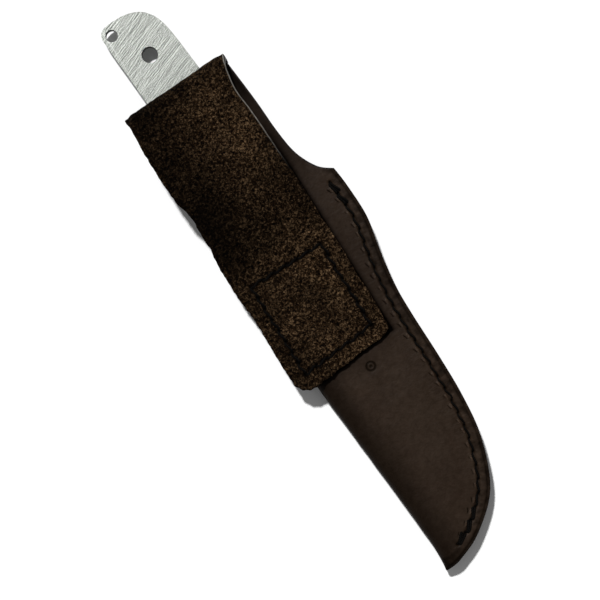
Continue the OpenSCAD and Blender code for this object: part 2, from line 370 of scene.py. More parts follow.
# how far each side of the strip has stretched outwards, at distances down it from the fold
RIGHT_STRETCH = curve([
    (-14, 0.9), (-8, 1.3), (-4, 0.6), (0, -0.7), (9, -2.1), (17, -1.3), (33, -0.7), (58, 0),
    (79, 0.4), (95, 0), (STRIP_LEN, 0),
])
LEFT_STRETCH = curve([
    (-14, 0.2), (-9, 1.1), (-5, 1.3), (0, 0.9), (14, 1.5), (30, 1.4), (36.5, 0.3), (40.5, -0.9),
    (46, -0.8), (57, -0.1), (72, 0.8), (87, -0.2), (100, 0), (STRIP_LEN, 0),
])


def strip_side(v, stretch):
    """Half the strip's width at places up the pattern."""
    return STRIP_HALF + np.interp(v - FOLD_AT[1] - FOLD_LEN, stretch[:, 0], stretch[:, 1])


def strip_sides():
    """The strip's right side, its end and its left side, in the flat pattern."""
    slant = (STRIP_HALF - STRIP_CORNER) * END_SLANT
    right_end = STRIP_END_V - STRIP_CORNER - slant
    left_end = STRIP_END_V - LEFT_CORNER + slant
    step = 2.0
    up = np.arange(STRIP_START_V, right_end - step / 2, step)
    down = np.arange(STRIP_START_V, left_end - step / 2, step)[::-1]
    right = np.column_stack([STRIP_MID + strip_side(up, RIGHT_STRETCH), up])
    left = np.column_stack([STRIP_MID - strip_side(down, LEFT_STRETCH), down])
    angles = np.linspace(0, math.pi / 2, 7)
    quarter = np.column_stack([np.cos(angles), np.sin(angles)])
    right_corner = [STRIP_MID + STRIP_HALF - STRIP_CORNER, right_end] + STRIP_CORNER * quarter
    mirrored = (quarter * [-1, 1])[::-1]
    left_corner = [STRIP_MID - STRIP_HALF + LEFT_CORNER, left_end] + LEFT_CORNER * mirrored
    return np.vstack([right, right_corner, left_corner, left])


def pattern_outline(step):
    """The flat pattern's outline, anticlockwise from the tip, with each point's part of the edge."""
    back = np.column_stack([unroll(EDGE[:, 0]), EDGE[:, 1]])[::-1]
    throat = (THROAT + [FLAT_SHIFT, 0])[::-1]
    neck = curve([
        (STRIP_MID - STRIP_HALF, STRIP_START_V), (3.2, 193), (1.9, 178), (1.2, 171), (0, SPINE_END),
    ])
    mouth = np.column_stack([-unroll(MOUTH[:, 0]), MOUTH[:, 1]])[::-1]
    front = np.column_stack([-unroll(EDGE[:, 0]), EDGE[:, 1]])
    parts = [
        ("edge", back), ("throat", throat), ("strip", strip_sides()), ("neck", neck),
        ("mouth", mouth), ("front", front),
    ]
    points, kinds = [], []
    for kind, part in parts:
        if points and np.linalg.norm(points[-1][-1] - part[0]) > 0.1:
            part = np.vstack([points[-1][-1:], part])
        even = resample(part, step)
        points.append(even)
        kinds += [kind] * (len(even) - 1)
    return np.vstack([p[:-1] for p in points]), np.array(kinds)


# ---- Filling and building sheets ----

def fill(outline, spacing, inside=None, clear=0.55):
    """A triangular lattice of points inside an outline, kept clear of its edge."""
    a, b = outline, np.roll(outline, -1, axis=0)
    row_gap = spacing * math.sqrt(3) / 2
    rows = np.arange(outline[:, 1].min() + spacing / 2, outline[:, 1].max(), row_gap)
    found = []
    for i, v in enumerate(rows):
        shift = i % 2 * spacing / 2
        crosses = (a[:, 1] > v) != (b[:, 1] > v)
        t = (v - a[crosses, 1]) / (b[crosses, 1] - a[crosses, 1])
        cuts = np.sort(a[crosses, 0] + t * (b[crosses, 0] - a[crosses, 0]))
        for left, right in zip(cuts[::2], cuts[1::2]):
            start = math.ceil((left - shift) / spacing) * spacing + shift
            u = np.arange(start, right, spacing)
            found.append(np.column_stack([u, np.full(len(u), v)]))
    points = np.vstack(found)
    if inside is not None:
        points = points[inside(points)]
    return away_from(points, outline, clear * spacing)


def away_from(points, others, gap):
    """The points that are at least gap from all the others."""
    return points[find(points, others)[0] > gap]


def rings(centres, radii, counts=(6, 10, 14)):
    """Points in rings round each centre, so that a small dent there has a clean shape."""
    out = [centres]
    for r, n in zip(radii, counts):
        angle = np.arange(n) * 2 * math.pi / n
        ring = r * np.column_stack([np.cos(angle), np.sin(angle)])
        out.append((centres[:, None] + ring[None]).reshape(-1, 2))
    return np.vstack(out)


INSIDE_ONLY = 1  # the kind of filling that keeps to the outline
SAME_PLACE = 1e-7


def triangulate(outline, inner):
    """Points and triangles of a filled outline; the outline's points come first."""
    points = np.vstack([outline, inner])
    loop = list(range(len(outline)))
    made = delaunay_2d_cdt([Vector(p) for p in points], [], [loop], INSIDE_ONLY, SAME_PLACE)
    order = [ids[0] for ids in made[3]]
    faces = np.array([[order[k] for k in f] for f in made[2]])
    a, b, c = (points[faces[:, k]] for k in range(3))
    cross = (b[:, 0] - a[:, 0]) * (c[:, 1] - a[:, 1]) - (b[:, 1] - a[:, 1]) * (c[:, 0] - a[:, 0])
    faces[cross < 0] = faces[cross < 0][:, ::-1]
    return points, faces


def in_frame(points):
    """Millimetres from the tip to metres in the frame."""
    return (points + TIP) * MM


def add_object(name, data):
    made = bpy.data.objects.new(name, data)
    bpy.context.scene.collection.objects.link(made)
    return made


def make_piece(name, verts, faces, material_ids, materials, fields):
    """A smooth-shaded mesh object from points in millimetres from the tip."""
    mesh = bpy.data.meshes.new(name)
    mesh.from_pydata(in_frame(np.asarray(verts)).tolist(), [], [list(map(int, f)) for f in faces])
    for material in materials:
        mesh.materials.append(material)
    mesh.polygons.foreach_set("material_index", np.asarray(material_ids, np.int32))
    mesh.polygons.foreach_set("use_smooth", np.ones(len(faces), bool))
    for key, values in fields.items():
        values = np.asarray(values, np.float32)
        kind, prop = ("FLOAT", "value") if values.ndim == 1 else ("FLOAT_VECTOR", "vector")
        mesh.attributes.new(key, kind, "POINT").data.foreach_set(prop, values.ravel())
    mesh.update()
    return add_object(name, mesh)


def stand_in(piece, cad_node):
    """Puts a piece in a CAD node's place on the sheath."""
    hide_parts(cad_node)
    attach(piece, "sheath")


PROFILE = np.linspace(math.pi / 2, -math.pi / 2, 7)
EDGE_POWER = 0.6  # below 1, so that a cut edge is squarer than a half round


def sheet_sides(outline, fills, fold_fn, relief_fns):
    """The flat points, folded points and triangles of a sheet's grain side and flesh side."""
    sides = []
    for side, (inner, relief) in enumerate(zip(fills, relief_fns)):
        flat, tris = triangulate(outline, inner)
        grain, flesh = fold_fn(flat)
        mine, other = (grain, flesh) if side == 0 else (flesh, grain)
        up = unit(mine - other)
        sides.append((flat, mine + up * relief(flat, mine)[:, None], tris if side == 0 else tris[:, ::-1]))
    return zip(*sides)


def make_sheet(name, outline, rounding, fills, fold_fn, relief_fns, materials, edge_ids, field_fn=None):
    """A sheet with two sides and a rounded edge, folded from a flat outline.

    fills holds the inner points of each side, and relief_fns moves each side along its normal. The
    first two materials are the sides', unless there is only one. edge_ids holds the material numbers
    of each row of the rounded edge's faces, from the grain side on. field_fn makes the shaders' fields.
    """
    closed = np.vstack([outline[-1:], outline, outline[:1]])
    loop_in = outline - rounding[:, None] * right_of(closed)[1:-1]
    flats, verts, tris = map(list, sheet_sides(loop_in, fills, fold_fn, relief_fns))
    layers = [np.zeros(len(flats[0])), np.ones(len(flats[1]))]
    faces = [tris[0], tris[1] + len(flats[0])]
    ids = [0] * len(tris[0]) + [min(1, len(materials) - 1)] * len(tris[1])

    # the rounded edge runs from the grain side's rim to the flesh side's
    n = len(outline)
    top, low = verts[0][:n], verts[1][:n]
    middle, half = (top + low) / 2, (top - low) / 2
    out = sum(fold_fn(outline)) / 2 - sum(fold_fn(loop_in)) / 2
    starts = [0]
    base = len(flats[0]) + len(flats[1])
    for angle in PROFILE[1:-1]:
        up = math.copysign(abs(math.sin(angle)) ** EDGE_POWER, angle)
        verts.append(middle + half * up + out * math.cos(angle) ** EDGE_POWER)
        flats.append(outline)
        layers.append(np.full(n, 0.5 - up / 2))
        starts.append(base)
        base += n
    starts.append(len(flats[0]))
    here = np.arange(n)
    ahead = np.roll(here, -1)
    for a, b, row_ids in zip(starts, starts[1:], edge_ids):
        faces.append(np.column_stack([a + here, b + here, b + ahead, a + ahead]))
        ids += list(row_ids)
    verts, faces = np.vstack(verts), [face for group in faces for face in group]
    fields = field_fn(np.vstack(flats), verts, np.concatenate(layers)) if field_fn else {}
    return make_piece(name, verts, faces, ids, materials, fields)


# ---- Threads ----

def tube(path, radius, sides=6):
    """Points and faces of a tube along a path, with its ends closed."""
    t = headings(path)
    steep = abs(t[len(t) // 2][2]) >= 0.9
    a = unit(np.cross(t, [1.0, 0.0, 0.0] if steep else [0.0, 0.0, 1.0]))
    b = np.cross(t, a)
    angle = np.arange(sides) * 2 * math.pi / sides
    ring = a[:, None] * np.cos(angle)[None, :, None] + b[:, None] * np.sin(angle)[None, :, None]
    verts = (path[:, None] + ring * radius).reshape(-1, 3)
    faces = []
    for i in range(len(path) - 1):
        for k in range(sides):
            m = (k + 1) % sides
            faces.append((i * sides + k, i * sides + m, (i + 1) * sides + m, (i + 1) * sides + k))
    faces.append(tuple(range(sides))[::-1])
    faces.append(tuple((len(path) - 1) * sides + k for k in range(sides)))
    return verts, faces


DIVE = 1.7  # how deep into its holes a stitch goes
DIVE_RUN = 0.9
ARCH = 0.12
SWING = 0.62  # how far across its seam a stitch swings at each end
WANDER = 0.18
TWIST_LEN = 2.6  # length of one turn of the twisted plies


def stitch_path(a, b, z, up, rng):
    """One stitch from hole a to hole b: out of one hole, over the leather and into the next."""
    run = b - a
    length = np.linalg.norm(run)
    across = np.array([-run[1], run[0]]) / length
    t = np.linspace(0, 1, 17)
    rise = np.clip(np.minimum(t, 1 - t) * length / DIVE_RUN, 0, 1)
    height = -DIVE + DIVE * np.sin(rise * math.pi / 2) ** 0.8 + ARCH * np.sin(t * math.pi)
    slant = SWING * np.sin((t - 0.5) * math.pi) * rng.uniform(0.75, 1.2)
    bend = WANDER * rng.normal() * np.sin(t * math.pi)
    xy = a + np.outer(t, run) + np.outer(slant * rise + bend, across)
    return np.column_stack([xy, z + up * height])


def twisted(path, up, phase, plies=3):
    """The plies of a twisted thread along a path."""
    t = headings(path)
    a = np.cross(t, [0, 0, up])
    a /= np.maximum(np.linalg.norm(a, axis=1), 1e-6)[:, None]
    b = np.cross(t, a)
    turn = distances(path)[:, None] * 2 * math.pi / TWIST_LEN + phase
    for k in range(plies):
        angle = turn + k * 2 * math.pi / plies
        yield path + PLY_OFF * (a * np.cos(angle) + b * np.sin(angle))


def make_thread(name, runs, z, up, seed, material):
    """A seam's thread on one face; runs are pairs of holes, each with its lift off the leather."""
    rng = np.random.default_rng(seed)
    verts, faces, base = [], [], 0
    for a, b, lift in runs:
        path = stitch_path(a, b, z + up * lift, up, rng)
        for ply in twisted(path, up, rng.uniform(0, 6.28)):
            v, f = tube(ply, PLY_R)
            verts.append(v)
            faces += [tuple(i + base for i in face) for face in f]
            base += len(v)
    return make_piece(name, np.vstack(verts), faces, [0] * len(faces), [material], {})


# ---- Materials ----

def node(tree, kind, inputs=(), **settings):
    """A shader node with its settings and inputs, each input a value or another node's socket.

    The helpers below take the tree from a socket that they are given, as its id_data.
    """
    made = tree.nodes.new("ShaderNode" + kind)
    for key, value in settings.items():
        setattr(made, key, value)
    for key, value in dict(inputs).items():
        if isinstance(value, bpy.types.NodeSocket):
            tree.links.new(value, made.inputs[key])
        else:
            made.inputs[key].default_value = value
    return made


def new_material(name, **inputs):
    """A material with a lone Principled shader, and its tree."""
    material = bpy.data.materials.new(name)
    material.use_nodes = True
    for key, value in inputs.items():
        principled(material.node_tree)[key.replace("_", " ")].default_value = value
    return material, material.node_tree


def principled(tree):
    return tree.nodes["Principled BSDF"].inputs


def plug(tree, **sockets):
    """Links sockets to inputs of a material's Principled shader."""
    for key, socket in sockets.items():
        tree.links.new(socket, principled(tree)[key.replace("_", " ")])


def math_node(operation, a, b=0.0):
    return node(a.id_data, "Math", {0: a, 1: b}, operation=operation).outputs[0]


def product(first, *others):
    """The product of sockets and numbers."""
    for other in others:
        first = math_node("MULTIPLY", first, other)
    return first


def blend(value, from_lo, from_hi, to_lo, to_hi, smooth_step=False):
    """A value moved from one range to another, and held at the ends."""
    kind = "SMOOTHSTEP" if smooth_step else "LINEAR"
    inputs = {0: value, 1: from_lo, 2: from_hi, 3: to_lo, 4: to_hi}
    return node(value.id_data, "MapRange", inputs, interpolation_type=kind).outputs[0]


def field(tree, name, output="Vector"):
    """One of the piece's own fields."""
    return node(tree, "Attribute", attribute_name=name).outputs[output]


def noise_node(at, scale, detail=3.0, rough_by=0.5, distortion=0.0, output=0):
    """Noise from 0 to 1, with scale features to each unit of at."""
    inputs = {"Vector": at, "Scale": scale, "Detail": detail, "Roughness": rough_by}
    return node(at.id_data, "TexNoise", {**inputs, "Distortion": distortion}).outputs[output]


def ramp(value, stops):
    """A colour ramp from (place, colour) stops."""
    made = node(value.id_data, "ValToRGB", {0: value})
    elements = made.color_ramp.elements
    while len(elements) < len(stops):
        elements.new(0.5)
    for element, (place, colour) in zip(elements, stops):
        element.position = place
        element.color = (*colour, 1)
    return made.outputs[0]


def scaled(colour, by):
    """A colour times a number."""
    return node(by.id_data, "VectorMath", {0: colour, "Scale": by}, operation="SCALE").outputs[0]


def parts_of(vector):
    return node(vector.id_data, "SeparateXYZ", {0: vector}).outputs


def bump(height, strength, distance, under=None):
    """A normal that follows a height, on top of the normal under it."""
    inputs = {"Strength": strength, "Distance": distance, "Height": height}
    if under is not None:
        inputs["Normal"] = under
    return node(height.id_data, "Bump", inputs).outputs[0]


def grain_leather():
    """Smooth waxed leather: fine pores, soft mottling, and creases drawn towards the seam."""
    material, tree = new_material("grain_leather")
    at, seam = field(tree, "pattern"), field(tree, "seam")
    tone = field(tree, "tone", "Fac")
    mottle = noise_node(at, 55, 5, 0.6)
    haze = noise_node(at, 420, 4, 0.65, 0.4)
    colour = ramp(mottle, [(0.3, (0.0160, 0.0092, 0.0054)), (0.7, (0.0220, 0.0138, 0.0086))])
    creases, pucker = seam_marks(seam)
    # painted shade in each crease and a painted highlight on each pucker
    painted_crease_shade = blend(creases, 0, 1, 1, 0.2)
    painted_pucker_highlight = blend(pucker, 0, 1, 1, 1.65)
    shade = product(blend(haze, 0.3, 0.7, 0.82, 1.18), tone, painted_crease_shade, painted_pucker_highlight)
    plug(tree, Specular_IOR_Level=product(shade, 0.07), Base_Color=scaled(colour, shade))
    cells = node(tree, "TexVoronoi", {"Vector": at, "Scale": 1400.0}, feature="SMOOTH_F1")
    wrinkles = noise_node(at, 260, 5, 0.62, 0.8)
    normal = bump(cells.outputs["Distance"], 0.3, 0.00015)
    normal = bump(wrinkles, 0.4, 0.0005, normal)
    normal = bump(seam_folds(seam), 0.35, 0.0004, normal)
    normal = bump(pucker, 0.5, 0.0004, normal)
    normal = bump(creases, 0.6, -0.0004, normal)
    plug(tree, Normal=normal, Roughness=blend(haze, 0.25, 0.75, 0.44, 0.64))
    return material


def stitch_place(run):
    """Along the seam: millimetres from the middle of each stitch's marks, and a chance for each stitch."""
    phase = math_node("DIVIDE", run, STITCH)
    number = math_node("FLOOR", phase)
    chance = node(run.id_data, "TexWhiteNoise", {"W": number}, noise_dimensions="1D").outputs["Value"]
    middle = blend(chance, 0, 1, 0.35, 0.65)
    beside = math_node("SUBTRACT", math_node("SUBTRACT", phase, number), middle)
    return product(beside, STITCH), math_node("FRACT", product(chance, 17))


def seam_marks(seam):
    """A slanted crease and a pucker inside each stitch of the edge seam, as masks: grain_leather uses them
    for bumps, and to paint shade into the crease and a highlight onto the pucker.
    """
    run, inward, _ = parts_of(seam)
    beside, chance = stitch_place(run)
    wobble = noise_node(seam, 0.9, 2)
    line = math_node("ADD", inward, product(beside, 0.34))
    line = math_node("SUBTRACT", line, blend(chance, 0, 1, 1.6, 2.4))
    line = math_node("ADD", line, blend(wobble, 0, 1, -0.4, 0.4))
    creases = blend(math_node("ABSOLUTE", line), 0.08, 0.36, 1, 0, True)
    ends = blend(math_node("ABSOLUTE", beside), 0.5, 1.5, 1, 0, True)
    creases = product(creases, ends, blend(chance, 0, 1, 0.45, 1))

    # the pucker is an oval, 1.15 mm in from the seam
    across = math_node("DIVIDE", math_node("SUBTRACT", inward, 1.15), 0.75)
    length = math_node("DIVIDE", beside, 1.5)
    squares = [math_node("POWER", math_node("ABSOLUTE", part), 2.0) for part in (across, length)]
    pucker = blend(math_node("ADD", *squares), 0.1, 1, 1, 0, True)
    return creases, product(pucker, blend(wobble, 0.35, 0.65, 0.4, 1))


def seam_folds(seam):
    """Soft folds that run in from the seam and fade out."""
    inward = parts_of(seam)[1]
    drawn = node(seam.id_data, "Mapping", {0: seam, 3: (0.75, 0.14, 1.0)}).outputs[0]
    fade = blend(inward, 2, 12, 1, 0, True)
    off_seam = blend(math_node("ABSOLUTE", inward), 0.2, 0.9, 0, 1, True)
    return product(noise_node(drawn, 1, 3, 0.55, 0.4), product(fade, off_seam))


def suede():
    """The flesh side: short curled fibres with painted shade along the grooves between them, matt and soft
    at glancing angles.
    """
    material, tree = new_material("suede", Roughness=0.9, Specular_IOR_Level=0.02)
    at, tone = field(tree, "pattern"), field(tree, "tone", "Fac")
    warp = noise_node(at, 700, 2, output=1)
    push = node(tree, "VectorMath", {0: warp, "Scale": 0.0011}, operation="SCALE").outputs[0]
    curled = node(tree, "VectorMath", {0: at, 1: push}, operation="ADD").outputs[0]
    fibres = noise_node(curled, 1150, 2.5, 0.6, 1)
    curls = math_node("SUBTRACT", noise_node(at, 620, 2, 0.5, 1.6), 0.5)
    curls = blend(math_node("ABSOLUTE", curls), 0, 0.07, 0, 1)
    clumps = noise_node(at, 380, 3, 0.6, 0.6)
    blotch = noise_node(at, 90, 3, 0.55)
    mixed = math_node("ADD", product(fibres, 0.82), product(clumps, 0.18))
    colour = ramp(mixed, [
        (0.39, (0.0010, 0.0005, 0.0002)), (0.50, (0.0130, 0.0067, 0.0029)), (0.63, (0.088, 0.055, 0.029)),
    ])
    patch = blend(blotch, 0.3, 0.7, 0.7, 1.3)
    # painted shade along the curls' grooves, times the painted light and tone of the field
    shade = product(patch, tone, blend(curls, 0, 1, 0.35, 1.1))
    normal = bump(curls, 0.7, 0.0007)
    normal = bump(fibres, 1, 0.0014, normal)
    normal = bump(clumps, 0.8, 0.002, normal)
    plug(tree, Base_Color=scaled(colour, shade), Normal=normal)
    return material


def cut_edge(name, dark, light, roughness, fade=None):
    """A cut edge: compressed fibres in layers. With fade, it darkens up the pattern from fade[0] to
    fade[1], so that a painted highlight fades out.
    """
    material, tree = new_material(name, Roughness=roughness, Specular_IOR_Level=0.10)
    at = node(tree, "TexCoord").outputs["Object"]
    stretched = node(tree, "Mapping", {0: at, 3: (420.0, 420.0, 3200.0)}).outputs[0]
    layers = noise_node(stretched, 1, 4, 0.6)
    colour = ramp(layers, [(0.35, dark), (0.7, light)])
    if fade:
        v = parts_of(field(tree, "pattern"))[1]
        shown = blend(v, fade[0] * MM, fade[1] * MM, 1, 0.04, True)
        colour = scaled(colour, shown)
        plug(tree, Specular_IOR_Level=product(shown, 0.10))
    plug(tree, Base_Color=colour, Normal=bump(layers, 0.5, 0.0003))
    return material


def thread_material():
    """Black waxed thread, duller where its fuzz is lighter."""
    material, tree = new_material("thread", Specular_IOR_Level=0.03)
    at = node(tree, "TexCoord").outputs["Object"]
    fuzz = noise_node(at, 3500, 3)
    colour = ramp(fuzz, [(0.3, (0.0008, 0.0007, 0.0006)), (0.75, (0.0042, 0.0035, 0.0030))])
    roughness = blend(fuzz, 0.3, 0.7, 0.5, 0.8)
    plug(tree, Base_Color=colour, Roughness=roughness, Normal=bump(fuzz, 0.4, 0.0001))
    return material


def scratches(at, degrees, width, length, lo=0.42, hi=0.58, shown=0.42):
    """Straight scratches from -1 to 1, turned by degrees in the flat, which come and go in patches."""
    tree = at.id_data
    inputs = {0: at, "Angle": -math.radians(degrees)}
    turned_at = node(tree, "VectorRotate", inputs, rotation_type="Z_AXIS").outputs[0]
    inputs = {"W": parts_of(turned_at)[1], "Scale": 1 / width, "Detail": 1.5, "Roughness": 0.6}
    lines = node(tree, "TexNoise", inputs, noise_dimensions="1D").outputs[0]
    size = (1 / length, 6 / length, 1 / length)
    place = node(tree, "Mapping", {0: turned_at, 1: (degrees, degrees, 0), 3: size}).outputs[0]
    patches = blend(noise_node(place, 1, 1), shown, shown + 0.12, 0, 1, True)
    return product(blend(lines, lo, hi, -1, 1, True), patches)


# layers of ground scratches: weight, degrees, and width and length in metres
GRINDING = (
    (0.38, 16, 0.00032, 0.014), (0.36, 21, 0.00036, 0.010), (0.30, 10, 0.00030, 0.012),
    (0.26, 34, 0.00034, 0.009), (0.12, 80, 0.00032, 0.009),
)


def ground_steel():
    """Coarsely ground steel: scratches cross at a slant over the flats, and the cut walls get painted
    shade.
    """
    material, tree = new_material("ground_steel", Metallic=0.5)
    at = node(tree, "TexCoord").outputs["Object"]
    lines = blend(noise_node(at, 2000, 4, 0.7), 0.35, 0.65, -0.38, 0.46)
    for weight, degrees, width, length in GRINDING:
        layer = scratches(at, degrees, width, length)
        lines = math_node("ADD", lines, product(layer, weight))
    tint = ramp(blend(lines, -1, 1, 0, 1), [
        (0.24, (0.070, 0.075, 0.068)), (0.48, (0.195, 0.206, 0.190)), (0.74, (0.53, 0.55, 0.51)),
    ])
    # a few long light scratches run along the blank
    long_ones = scratches(at, 86, 0.0009, 0.030, 0.66, 0.70, 0.5)
    light = blend(long_ones, 0, 1, 0, 0.75)
    lit = node(tree, "Mix", {0: light, 6: tint, 7: (0.44, 0.45, 0.43, 1)}, data_type="RGBA").outputs[2]
    facing = parts_of(node(tree, "NewGeometry").outputs["Normal"])[2]
    # painted shade on faces that don't face up or down: the outline's and the holes' walls
    painted_wall_shade = blend(math_node("ABSOLUTE", facing), 0.15, 0.75, 0.16, 1)
    roughness = blend(lines, -1, 1, 0.56, 0.46)
    plug(tree, Base_Color=scaled(lit, painted_wall_shade), Roughness=roughness, Normal=bump(lines, 0.25, 0.00004))
    return material


# ---- The leather ----

def stamped(xy):
    """Depth of the maker's mark: a ring round a dot, pressed into the back panel."""
    r = np.linalg.norm(xy - MARK_AT, axis=1)
    return 0.42 * hump(r - RING_R, 0.32) + 0.42 * hump(r, 0.5) + 0.1 * hump(r, MARK_REACH)


def near_seam(xy, near, seam, holes):
    """Distances from a seam and from its holes where near is true, and FAR elsewhere."""
    from_seam, from_hole = np.full(len(xy), FAR), np.full(len(xy), FAR)
    if near.any():
        from_seam[near], _ = nearest(xy[near], seam)
        from_hole[near], _ = find(xy[near], holes)
    return from_seam, from_hole


def grain_relief(flat, place):
    """How far the grain side stands proud of the plain folded sheet."""
    u, v = flat[:, 0], flat[:, 1]
    back = u >= 0
    xy = place[:, :2]
    on_panel = v < PANEL_TOP
    from_seam, from_hole = near_seam(xy, on_panel, EDGE_SEAM, EDGE_HOLES)
    from_edge = np.full(len(flat), FAR)
    from_edge[on_panel], _ = nearest(xy[on_panel], EDGE)

    # waves, the back panel's swell over the blade, and the groove where it comes down to the welt
    move = 0.13 * rough(flat, 16, 3, 5) + 0.035 * rough(flat, 2.6, 2, 9)
    inner = smooth(from_edge, 6.5, 15) * smooth(xy[:, 0], 3, 12)
    inner = inner * (1 - smooth(v, 130, 158)) * smooth(v, 4, 22)
    move += np.where(back, 0.55, 0.0) * inner
    move -= 0.14 * hump(from_edge - 10.5, 1.5) * smooth(v, 20, 32) * back

    # the seam's hollow and holes, the rounded edge, the strip's print and the mark
    move -= 0.40 * hump(from_seam, 0.62) + 0.12 * hump(from_seam, 2.2)
    move -= 0.7 * hump(from_hole, 0.55)
    move -= 0.9 * np.clip(1 - from_edge / 1.5, 0, 1) ** 1.3
    press = smooth(np.minimum(*strip_cover(xy)), -2.5, 1.0)
    move -= np.where(back & (v < FOLD_AT[1]), 0.12 * press * (1 - press) * 4, 0)
    move -= np.where(back, stamped(xy), 0)

    # the front panel rests on the table, so its face only sinks
    flat_face = ~back & (np.abs(u) > ARC_LEN)
    most = np.where(flat_face, 0.0, np.where(back, FAR, 0.02))
    return np.minimum(move, most)


def strip_cover(xy):
    """How far inside the strip's sides, and above its sewn end, a place on the back panel is."""
    q = on_strip(xy)
    return STRIP_HALF - np.abs(q[:, 0]), q[:, 1] + STRIP_LEN - q[:, 0] * END_SLANT


def flesh_relief(flat, place):
    """The flesh side: nap and soft hollows on the belt strip, and nearly plain in the pocket."""
    _, d = fold_place(flat)
    strip = smooth(d, -2, 2) * (flat[:, 0] > 0)
    nap = 0.10 * rough(flat, 1.3, 2, 21) + 0.12 * rough(flat, 4.5, 2, 31) + 0.22 * noise(flat, 22, 41)
    move = strip * nap
    xy = place[:, :2]
    sewn = (d > FOLD_LEN + SEWN_FROM) & (flat[:, 0] > 0)
    from_seam, from_hole = near_seam(xy, sewn, BOX_PATH, BOX_HOLES)
    move -= 0.6 * hump(from_seam, 0.75) + 0.2 * hump(from_seam, 2.6)
    move -= 0.8 * hump(from_hole, 0.65)
    rim = STRIP_HALF - np.abs(on_strip(xy)[:, 0])
    move -= strip * 0.45 * np.clip(1 - rim / 2.2, 0, 1) ** 1.5
    return move


def leather_fields(flat, place, layer):
    """Fields for the shaders: the pattern in metres, the seam's coordinates and a brightness, which holds
    painted shade, shadow and highlights as well as the leather's tone.
    """
    xy = place[:, :2]
    from_edge, _ = nearest(xy, EDGE)
    from_seam, run = nearest(xy, EDGE_SEAM)
    from_hole, _ = find(xy, EDGE_HOLES)
    inward = np.where(from_edge > SEAM_MARGIN, from_seam, -from_seam)
    inward = np.where(flat[:, 1] < PANEL_TOP, inward, 20.0)
    grain = grain_tone_and_painted_light(flat, xy, from_edge, from_seam, from_hole)
    return {
        "pattern": np.column_stack([flat * MM, layer * 0.01]),
        "seam": np.column_stack([run, inward, np.zeros(len(flat))]),
        "tone": np.where(layer > 0.5, flesh_tone_and_painted_shade(flat, place), grain),
    }


def grain_tone_and_painted_light(flat, xy, from_edge, from_seam, from_hole):
    """Brightness of the grain side: painted shade towards the spine and in the seam's hollow and holes, a
    painted highlight on the seam's flanks, and darker over the welt, with lines along the seam.
    """
    low = flat[:, 1] < 154
    # painted shade: darker towards the spine, where the panel curves over
    tone = 0.44 + 0.55 * smooth(xy[:, 0], 2, 15)
    tone *= 1 - 0.38 * (1 - smooth(from_edge, SEAM_MARGIN - 1.6, SEAM_MARGIN + 0.6)) * low
    tone *= 1 + 0.35 * hump(from_edge - 2.9, 1.0) * low
    tone *= 1 - 0.6 * hump(from_edge - 1.45, 0.3) * low
    # a painted highlight on the seam's flanks, and painted shade in its hollow and in its holes
    tone *= 1 + 0.15 * hump(from_seam - 1.1, 0.5) * low
    tone *= 1 - 0.6 * hump(from_seam, 0.45) * low
    tone *= 1 - 0.6 * hump(from_hole, 0.45)
    tone *= 1 + 0.45 * rough(xy, 1.5, 2, 91) * (from_edge < SEAM_MARGIN + 0.5) * low
    return np.where(flat[:, 0] > 0, tone * back_tone_and_painted_light(flat[:, 1], xy), tone)


def back_tone_and_painted_light(v, xy):
    """Brightness of the back panel: painted shade and shadow round and under the belt strip, painted shade
    under the loop and at the neck, a painted highlight streak by the spine, a darker patch near the right
    edge, and darker in the mark.
    """
    # painted shade round the strip's sides and end, and a painted shadow under it and just below its end
    inside, above = strip_cover(xy)
    beyond = np.maximum(-np.minimum(inside, above), 0)
    shade = 0.70 * hump(beyond, 1.4) + 0.22 * hump(beyond, 5)
    shade = np.maximum(shade, 0.97 * smooth(above, -1.7, -0.8) * (inside > -0.5))
    tone = 1 - shade * (1 - smooth(v, 160, 196))
    tone *= 1 - 0.28 * hump((xy[:, 0] - 47) / 7, 1) * hump((v - 112) / 22, 1)
    # a painted highlight streak beside the spine
    tone *= 1 + 0.22 * hump(np.hypot((xy[:, 0] - 10.5) / 3.5, (v - 74) / 13), 1)
    # painted shade under and beside the loop, and under the strip's left edge by the spine
    tone *= 1 - 0.42 * smooth(v, 150, 172) - 0.40 * smooth(v, 184, 200)
    tone *= 1 - 0.7 * smooth(v, 158, 170) * (xy[:, 0] < 12)
    return tone * (1 - 0.65 * np.clip(stamped(xy) / 0.3, 0, 1))


